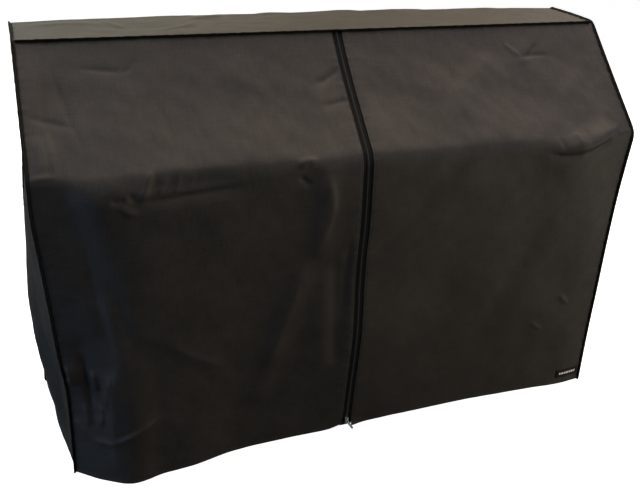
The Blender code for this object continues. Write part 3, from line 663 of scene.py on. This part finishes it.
def resampled(line, step):
    """A line's points, evenly spaced along it."""
    along = arc_lengths(line, 0)
    at = spaced(0, along[-1], step)
    return read_at(at, along, line), at


def fin_directions(line, outwards):
    """Along the line, out of the seam, and across the fin."""
    tangents = unit(np.gradient(line, axis=0))
    outwards = unit(outwards - (outwards * tangents).sum(axis=1, keepdims=True) * tangents)
    return tangents, outwards, np.cross(tangents, outwards)


def binding(name, node, line, outwards, seed):
    """The fin's profile carried along the seam, leaning a little this way and that."""
    line, at = resampled(line, BINDING_STEP)
    tangents, out, across = fin_directions(line, outwards(line))
    lean = np.radians(5.0) * puckers(0, at, seed, depth=1.0)
    out = np.cos(lean)[:, None] * out + np.sin(lean)[:, None] * across
    across = np.cross(tangents, out)
    rings = [line + o * out + BINDING_THICK / 2 * a * across for o, a in BINDING_PROFILE]
    points = np.stack(rings, axis=1)
    round_it = arc_lengths(points, 1)
    uv = MM * np.stack([round_it, at[:, None] + 0 * round_it], axis=-1)
    piece = new_piece(name, points, tube_faces(*points.shape[:2]), uv, binding_tape)
    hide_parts(node)
    return line, out, across


def end_line(side):
    """Line of one end's seam: up the front, back along the top and down the back, its corners eased."""
    up = spaced(0, HEIGHT, 6.0)
    edge = np.full_like(up, SIGN[side] * WIDTH / 2)
    front = np.stack([end_x(side, 0.0, up), FRONT_Y - reach(edge, up), HEM_Z + up], axis=-1)
    y = spaced(FRONT_Y, BACK_Y, 6.0)[1:]
    top = np.stack([end_x(side, (y - FRONT_Y) / TOP_DEPTH, HEIGHT), y, 0 * y + TOP_Z], axis=-1)
    down = up[::-1][1:]
    back = np.stack([end_x(side, 1.0, down), 0 * down + BACK_Y, HEM_Z + down], axis=-1)
    line = np.concatenate([front, top, back])
    for _ in range(3):
        line[1:-1] = (line[:-2] + 2 * line[1:-1] + line[2:]) / 4
    return line


def away_from_end(side):
    """A function that gives, along an end's seam, the way out of the corner between its two panels."""

    def outwards(line):
        away = unit(np.cross((1.0, 0.0, 0.0), np.gradient(line, axis=0)))
        return np.array((SIGN[side], 0.0, 0.0)) + away

    return outwards


fins = [
    binding(f"{side}_end_tape", f"{side}_end_binding", end_line(side), away_from_end(side), seed=47)
    for side in SIGN
]
top_ends = end_x("left", 0.0, HEIGHT) + TOP_TAPE_SET, end_x("right", 0.0, HEIGHT) - TOP_TAPE_SET
top_x = spaced(*top_ends, BINDING_STEP)
top_line = np.stack([top_x, 0 * top_x + FRONT_Y, 0 * top_x + TOP_Z], axis=-1)
top_out = unit(np.array((0.0, -1.0, SLOPE))) - np.array((0.0, TOP_FIN_LEAN, 0.0))
fins.append(binding("top_front_tape", "top_front_binding", top_line, lambda line: top_out + 0 * line, seed=53))


# ---- Zip ----
# A nylon coil zip between the two halves: black woven tapes behind the folded panel edges, and between them
# the closed coils, a row of small rounded bars that reach in from both sides in turn.
COIL_WIDTH = 5.2
COIL_THICK = 1.25  # of one bar of it
COIL_DEEP = -1.75  # of the bars' middles, from the front's surface
COIL_PITCH = 1.7
COIL_SET = 0.55  # how far each bar lies to its own side
COIL_START = 35.5  # how far the first bar lies above the hem
ZIP_TOP_SET = 2.0  # how far the zip stops short of the top
TAPE_COLUMNS = (0.3, 2.6, 3.4, 4.2, 6.5, 9.0, 11.5, 13.5, 16.0)
TAPE_END = 1.0  # how far the tapes stop above the hem
TAPE_DEEP = (-2.6, -3.4)  # of a tape's face and back, from the front's surface
TAPE_CORD = (3.6, 0.6, 0.7)  # the ridge beside the coils: its place, height and width
TAPE_TUCK = (2.5, 24.0)  # how much deeper the tapes' lower ends lie, and over what height
zip_weave = woven("Zip tape, black polyester", "#0d0d0c", "#141413", 0.8, 0.8, 0.2, 0.0, 0.2)


def zip_surface(x, height, out):
    """The front's surface near the zip, moved out along its normal."""
    x, height = np.broadcast_arrays(np.asarray(x, float), np.asarray(height, float))
    aside = front_point(x + 1, height) - front_point(x - 1, height)
    up = front_point(x, height + 1) - front_point(x, height - 1)
    return front_point(x, height) + np.asarray(out)[..., None] * unit(np.cross(aside, up))


zip_height = spaced(TAPE_END, HEIGHT - ZIP_TOP_SET, 5.0)[:, None]
tuck = TAPE_TUCK[0] * np.exp(-((zip_height / TAPE_TUCK[1]) ** 2))
cord_place, cord_out, cord_width = TAPE_CORD
for side in SIGN:
    across = np.sort(SIGN[side] * np.array(TAPE_COLUMNS)) + 0 * zip_height
    cord = cord_out * np.exp(-(((np.abs(across) - cord_place) / cord_width) ** 2))
    outer = zip_surface(across, zip_height, TAPE_DEEP[0] + cord - tuck)
    inner = zip_surface(across, zip_height, TAPE_DEEP[1] + 0 * cord - tuck)
    points = np.concatenate([outer, inner[:, ::-1]], axis=1)
    faces = tube_faces(*points.shape[:2])
    uv = MM * np.stack([arc_lengths(points, 1), arc_lengths(points, 0)], axis=-1)
    piece = new_piece(f"zip_tape_{side}_cloth", points, faces, uv, zip_weave)
    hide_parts(f"zip_tape_{side}")


def uneven(tree, shader, scale, detail, least, most):
    """Fine noise in the piece's own space, which also sets how rough it is, from least to most."""
    place = add(tree, "ShaderNodeTexCoord").outputs["Object"]
    noise = add(tree, "ShaderNodeTexNoise", (("Vector", place), ("Scale", scale), ("Detail", detail)))
    noise = noise.outputs["Fac"]
    rough = add(tree, "ShaderNodeMapRange", (("Value", noise), ("To Min", least), ("To Max", most)))
    tree.links.new(rough.outputs["Result"], shader.inputs["Roughness"])
    return noise


def smooth_plastic(name, color, roughness):
    """Moulded or drawn nylon: an even dark body with a satin gloss, slightly uneven from wear."""
    made, tree, shader = new_material(name, (("Base Color", hex_color(color)), ("IOR", 1.53)))
    uneven(tree, shader, 900.0, 3.0, roughness - 0.08, roughness + 0.08)
    return made


def bars(name, middles, along, out, size, finish, bend=0.0):
    """Many small rounded bars in one mesh. Each is five rings of six points, thin at its ends, at its middle
    point, along its own direction; bend lets its ends dip below its middle."""
    length, thick = size
    sideways = np.cross(along, out)
    t = np.array((-1.0, -0.8, 0.0, 0.8, 1.0))
    girth = np.array((0.35, 0.9, 1.0, 0.9, 0.35)) * thick / 2
    angle = np.arange(6) * math.pi / 3
    ring = girth[:, None, None] * np.stack([np.cos(angle), np.sin(angle)], axis=-1)
    points = (
        middles[:, None, None]
        + (t * length / 2)[None, :, None, None] * along[:, None, None]
        - (bend * t**2)[None, :, None, None] * out[:, None, None]
        + ring[None, ..., :1] * out[:, None, None]
        + ring[None, ..., 1:] * sideways[:, None, None]
    )
    one = [face[::-1] for face in tube_faces(5, 6)]
    faces = [tuple(k * 30 + v for v in f) for k in range(len(middles)) for f in one]
    uv = MM * np.stack([points[..., 0], points[..., 2]], axis=-1)
    return new_piece(name, points, faces, uv, finish)


nylon = smooth_plastic("Nylon coil, black", "#161615", 0.55)
bar_length = np.arange(COIL_START, float(slope_length(np.array(HEIGHT - ZIP_TOP_SET))), COIL_PITCH / 2)
above_key = np.maximum(bar_length - KEY_HEIGHT, 0.0)
bar_height = np.minimum(bar_length, KEY_HEIGHT) + above_key / math.hypot(1, SLOPE)
turn = np.where(np.arange(len(bar_height)) % 2, 1.0, -1.0)
middles = zip_surface(COIL_SET * turn, bar_height, np.full(len(bar_height), COIL_DEEP))
up = unit(np.gradient(middles - COIL_SET * turn[:, None] * np.array((1.0, 0, 0)), axis=0))
crosswise = unit(np.array((1.0, 0.0, 0.0)) + 0.16 * turn[:, None] * up)
out = unit(np.cross(crosswise, up))
bar_size = (COIL_WIDTH - 2 * COIL_SET, COIL_THICK)
coil = bars("zip_coil_bars", middles, crosswise, out, bar_size, nylon, bend=0.45)
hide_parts("zip_coil")


# ---- Slider and pull ----
# Die-cast zinc, nickel-plated and satin: a shield with a bridge over it, and a flat tab that hangs from the
# bridge and lies out against the right half's free corner.
def plated(name, color, roughness):
    """Nickel plate on a casting: bright metal dulled by fine pits and handling."""
    made, tree, shader = new_material(name, (("Base Color", hex_color(color)), ("Metallic", 1.0)))
    pits = uneven(tree, shader, 1400.0, 4.0, roughness - 0.1, roughness + 0.14)
    bump = add(tree, "ShaderNodeBump", (("Strength", 0.2), ("Distance", 0.0001), ("Height", pits)))
    tree.links.new(bump.outputs["Normal"], shader.inputs["Normal"])
    return made


nickel = plated("Zinc casting, nickel-plated", "#e4e2dc", 0.42)


def eased(name, node, width):
    """A copy of a frame node with its points merged and its edges rounded."""
    shape = bmesh.new()
    shape.from_mesh(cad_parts[node].data)
    bmesh.ops.remove_doubles(shape, verts=shape.verts[:], dist=1e-5)
    bmesh.ops.dissolve_limit(shape, angle_limit=math.radians(3), verts=shape.verts[:], edges=shape.edges[:])
    mesh = bpy.data.meshes.new(name)
    shape.to_mesh(mesh)
    shape.free()
    mesh.materials.clear()
    mesh.materials.append(nickel)
    mesh.shade_smooth()
    made = new_object(name, mesh)
    bevel = made.modifiers.new("Worn edges", "BEVEL")
    bevel.width = width
    bevel.segments = 3
    bevel.limit_method = "ANGLE"
    bevel.angle_limit = math.radians(30)
    bevel.harden_normals = True
    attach(made, "root")
    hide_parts(node)
    return made


EDGE_WEAR = 0.0003
eased("slider_casting", "zip_slider", EDGE_WEAR)
eased("pull_tab", "zip_pull", EDGE_WEAR)


# ---- Label ----
# A small black woven label, folded under at both ends and stitched down; a row of plain pale blocks stands in
# the place of its lettering.
LABEL_SIZE = (74.0, 24.0)
LABEL_MIDDLE = (679.0, 34.0)  # across, and above the hem
LABEL_OUT = 1.4  # of its face, from the cloth
LABEL_THICK = 0.8
BLOCKS = (5.0, 8.0, 6.0, 9.0, 6.0, 8.0, 5.0)  # their widths
BLOCK_HEIGHT = 6.5
BLOCK_THICK = 0.3
BLOCK_OUT = 0.25  # from the label
BLOCK_GAP = 1.6
label_weave = woven("Woven label, black satin", "#0e0d0c", "#161514", 0.5, 0.6, 0.3, 0.0, 0.12)


def label_patch(name, middle, size, out, thick, finish, columns, rows):
    """A thin patch that follows the cloth, its face rounded down at its edges."""
    a, b = np.linspace(-1, 1, columns), np.linspace(-1, 1, rows)[:, None]
    x = middle[0] + size[0] / 2 * a + 0 * b
    height = middle[1] + size[1] / 2 * b + 0 * a
    edge = np.minimum((1 - np.abs(a)) * size[0] / 2, (1 - np.abs(b)) * size[1] / 2)
    face = zip_surface(x, height, out - 0.45 * thick * np.exp(-edge / 0.5))
    back = zip_surface(x, height, np.full_like(x, out - thick))
    top = grid_faces(rows, columns)
    under = top[:, ::-1] + rows * columns
    index = np.arange(rows * columns).reshape(rows, columns)
    rim = np.concatenate([index[0, :-1], index[:-1, -1], index[-1, :0:-1], index[:0:-1, 0]])
    follow = np.roll(rim, -1)
    sides = np.stack([follow, rim, rim + rows * columns, follow + rows * columns], axis=1)
    points = np.concatenate([face.reshape(-1, 3), back.reshape(-1, 3)])
    uv = MM * np.concatenate([np.stack([x, height], axis=-1).reshape(-1, 2)] * 2)
    return new_piece(name, points, np.concatenate([top, under, sides]), uv, finish)


patch = label_patch("woven_label", LABEL_MIDDLE, LABEL_SIZE, LABEL_OUT, LABEL_THICK, label_weave, 60, 24)
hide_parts("label")
pale_weave = woven("Woven label, pale yarn", "#f2f2f0", "#fafaf8", 0.5, 0.6, 0.5, 0.0, 0.1)
block_x = LABEL_MIDDLE[0] - (sum(BLOCKS) + BLOCK_GAP * (len(BLOCKS) - 1)) / 2
for k, wide in enumerate(BLOCKS):
    middle, size = (block_x + wide / 2, LABEL_MIDDLE[1]), (wide, BLOCK_HEIGHT)
    label_patch(f"label_block_{k}", middle, size, LABEL_OUT + BLOCK_OUT, BLOCK_THICK, pale_weave, 8, 8)
    block_x += wide + BLOCK_GAP


# ---- Stitches ----
# Black polyester thread in a lockstitch. Drawn 0.7 mm thick instead of 0.4, so that it shows.
STITCH_PITCH = 4.0
STITCH_SIZE = (3.1, 0.7)  # length and thickness
STITCH_BEND = 0.35  # how far its ends dip
thread = smooth_plastic("Polyester thread, black", "#242322", 0.5)


def sewn(name, line, out, offset=0.0):
    """A row of stitches along a line, each a small bar that dips into the cloth at both ends."""
    along = arc_lengths(line, 0)
    at = np.arange(STITCH_PITCH, along[-1] - STITCH_PITCH, STITCH_PITCH)
    outs = unit(read_at(at, along, out))
    ways = unit(read_at(at, along, np.gradient(line, axis=0)))
    outs = unit(outs - (outs * ways).sum(axis=1, keepdims=True) * ways)
    middles = read_at(at, along, line) + offset * outs
    return bars(name, middles, ways, outs, STITCH_SIZE, thread, bend=STITCH_BEND)


for name, (line, out, across) in zip(("left_end", "right_end", "top_front"), fins, strict=True):
    for face, turned in (("a", 1), ("b", -1)):
        surface = line + STITCH_OUT * out + turned * STITCH_DIP * BINDING_THICK / 2 * across
        sewn(f"stitches_{name}_{face}", surface, turned * across, offset=0.1)
for side in SIGN:
    height = zip_height[:, 0]
    edge = SIGN[side] * (ZIP_OPENING / 2 + ZIP_STITCHES)
    line = zip_surface(np.full_like(height, edge), height, np.full_like(height, -0.75))
    under = zip_surface(edge + 0 * height, height, -2 + 0 * height)
    sewn(f"stitches_zip_{side}", line, line - under, offset=0.1)


# ---- Stage and light ----
# A plain white floor that runs out of sight and throws no light back on the cloth, and soft square lights all
# round: warm on the right and behind, cool on the left, weak in front.
AIM = np.array((0.0, -0.1, -0.4))
LIGHT_DISTANCE = 3.6
LIGHT_SIZE = 1.7
# Bearings are in degrees round from the front to the right, heights in degrees up from level, colours in watts.
LIGHTS = (
    # name                     bearing  height  red  green blue
    ("overhead, left",             270,    75,  33.5, 31.5, 33.0),
    ("overhead, behind",           180,    75,  11.0,  8.5,  5.0),
    ("overhead, right",             90,    75,   9.0,  6.5,  7.0),
    ("high, right",                 90,    50,  25.0, 22.0, 22.5),
    ("high, right and behind",     135,    50,  39.0, 31.0, 19.0),
    ("high, right and in front",    45,    50,   9.0,  5.0,  2.0),
    ("high, in front",               0,    50,   6.0,  8.5,  6.0),
    ("high, left and behind",      225,    50,  14.0, 10.0,  9.0),
    ("behind",                     180,    22,  13.0, 12.0,  9.0),
    ("behind, left",               210,    22,  16.0, 20.0, 18.0),
    ("behind, right",              120,    22,  11.0, 10.0, 10.5),
    ("right and in front",          60,    22,   3.0,  6.5, 10.0),
    ("low, right",                  60,    -6,  24.0, 21.5, 17.5),
    ("low, right and in front",     30,    -6,  12.5,  9.6,  6.5),
    ("low, left and in front",     300,    -6,   9.6, 12.6, 19.0),
    ("left",                       270,    22,  22.0, 29.0, 36.0),
)  # fmt: skip
for name, bearing, height, *watts in LIGHTS:
    bearing, height = math.radians(bearing), math.radians(height)
    level = math.cos(height)
    way = np.array((level * math.sin(bearing), -level * math.cos(bearing), math.sin(height)))
    lamp = bpy.data.lights.new(name, "AREA")
    lamp.size = LIGHT_SIZE
    lamp.energy = max(watts)
    lamp.color = [watt / max(watts) for watt in watts]
    made = new_object(name, lamp)
    made.location = AIM + LIGHT_DISTANCE * way
    made.rotation_euler = (math.pi / 2 - height, 0, bearing)

FLOOR_REACH = 30.0
FLOOR_GAP = 0.0015  # under the hem
floor_z = MM * HEM_Z - FLOOR_GAP
corners = [(a * FLOOR_REACH, b * FLOOR_REACH, floor_z) for a, b in ((-1, -1), (1, -1), (1, 1), (-1, 1))]
floor_mesh = bpy.data.meshes.new("floor")
floor_mesh.from_pydata(corners, [], [(0, 1, 2, 3)])
floor = new_object("floor", floor_mesh)
PAPER_INPUTS = (
    ("Base Color", hex_color("#f4f4f2")),
    ("Roughness", 0.9),
    ("Emission Color", (1.0, 1.0, 1.0, 1.0)),
    ("Emission Strength", 0.95),
)
floor_mesh.materials.append(new_material("Seamless paper, white", PAPER_INPUTS)[0])
floor.visible_diffuse = False
floor.visible_glossy = False
floor.visible_shadow = False

world = bpy.data.worlds.new("studio")
bpy.context.scene.world = world
world.use_nodes = True
background = world.node_tree.nodes["Background"]
background.inputs["Color"].default_value = (0.5, 1.0, 0.9, 1.0)
background.inputs["Strength"].default_value = 0.012
bpy.context.scene.view_settings.view_transform = "Standard"

lens = bpy.data.cameras.new("camera")
lens.sensor_width = 36.0
lens.lens = 47.45
lens.clip_end = 200.0
camera = new_object("camera", lens)
camera.location = (-0.750, -1.9785, 0.419)
camera.rotation_euler = [math.radians(turn) for turn in (64.03, -2.46, -20.14)]
bpy.context.scene.camera = camera
